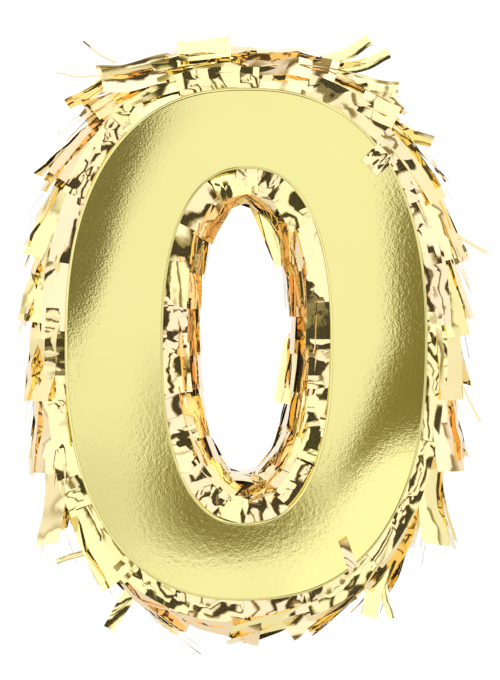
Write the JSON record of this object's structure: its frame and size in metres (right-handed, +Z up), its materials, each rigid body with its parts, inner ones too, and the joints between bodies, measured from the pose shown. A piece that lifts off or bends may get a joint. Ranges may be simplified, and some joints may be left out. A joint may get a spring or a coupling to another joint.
{
  "type": "number pinata",
  "caption": "Hollow card pinata in the shape of a zero, with gold mirror-card faces, foil fringe on its outer and inner walls, a fill flap in the back and a hole to hang it by.",
  "frame": {"origin": "middle of the hanging-cord hole, on the outer surface of the outer wall, at the top of the zero", "axes": "+Z up along the hanging-cord hole, +X to the right seen from the front, +Y to the back, where the fill flap is"},
  "size_m": [0.1626, 0.0463, 0.218],
  "materials": {
    "gold_card": "gloss",
    "gold_foil": "polished",
    "gold_tape": "gloss",
    "grey_board": "matte",
    "kraft_tape": "matte"
  },
  "bodies": {
    "box": {"front_panel": "gold_card", "back_panel": "gold_card", "flap_hinge_tape": "gold_tape", "outer_wall_upper": "grey_board", "outer_wall_lower": "grey_board", "inner_wall": "grey_board", "left_wall_joint": "grey_board", "right_wall_joint": "grey_board", "inner_wall_joint": "grey_board", "hanger_patch": "grey_board", "front_outer_seam_tape": "kraft_tape", "front_inner_seam_tape": "kraft_tape", "back_outer_seam_tape": "kraft_tape", "back_inner_seam_tape": "kraft_tape", "outer_fringe_left_01": "gold_foil", "outer_fringe_left_02": "gold_foil", "outer_fringe_left_03": "gold_foil", "outer_fringe_left_04": "gold_foil", "outer_fringe_left_05": "gold_foil", "outer_fringe_left_06": "gold_foil", "outer_fringe_left_07": "gold_foil", "outer_fringe_left_08": "gold_foil", "outer_fringe_left_09": "gold_foil", "outer_fringe_left_10": "gold_foil", "outer_fringe_left_11": "gold_foil", "outer_fringe_right_01": "gold_foil", "outer_fringe_right_02": "gold_foil", "outer_fringe_right_03": "gold_foil", "outer_fringe_right_04": "gold_foil", "outer_fringe_right_05": "gold_foil", "outer_fringe_right_06": "gold_foil", "outer_fringe_right_07": "gold_foil", "outer_fringe_right_08": "gold_foil", "outer_fringe_right_09": "gold_foil", "outer_fringe_right_10": "gold_foil", "outer_fringe_right_11": "gold_foil", "inner_fringe_left_01": "gold_foil", "inner_fringe_left_02": "gold_foil", "inner_fringe_left_03": "gold_foil", "inner_fringe_left_04": "gold_foil", "inner_fringe_left_05": "gold_foil", "inner_fringe_left_06": "gold_foil", "inner_fringe_left_07": "gold_foil", "inner_fringe_left_08": "gold_foil", "inner_fringe_left_09": "gold_foil", "inner_fringe_left_10": "gold_foil", "inner_fringe_right_01": "gold_foil", "inner_fringe_right_02": "gold_foil", "inner_fringe_right_03": "gold_foil", "inner_fringe_right_04": "gold_foil", "inner_fringe_right_05": "gold_foil", "inner_fringe_right_06": "gold_foil", "inner_fringe_right_07": "gold_foil", "inner_fringe_right_08": "gold_foil", "inner_fringe_right_09": "gold_foil", "inner_fringe_right_10": "gold_foil"},
    "flap": {"fill_flap": "gold_card", "seal_sticker": "gold_tape"}
  },
  "joints": [
    {"name": "flap_hinge", "type": "hinge", "parent": "box", "child": "flap", "pos_m": [0.0515, 0.02303, -0.055], "axis": [1, 0, 0], "range_deg": [0, 110]}
  ]
}
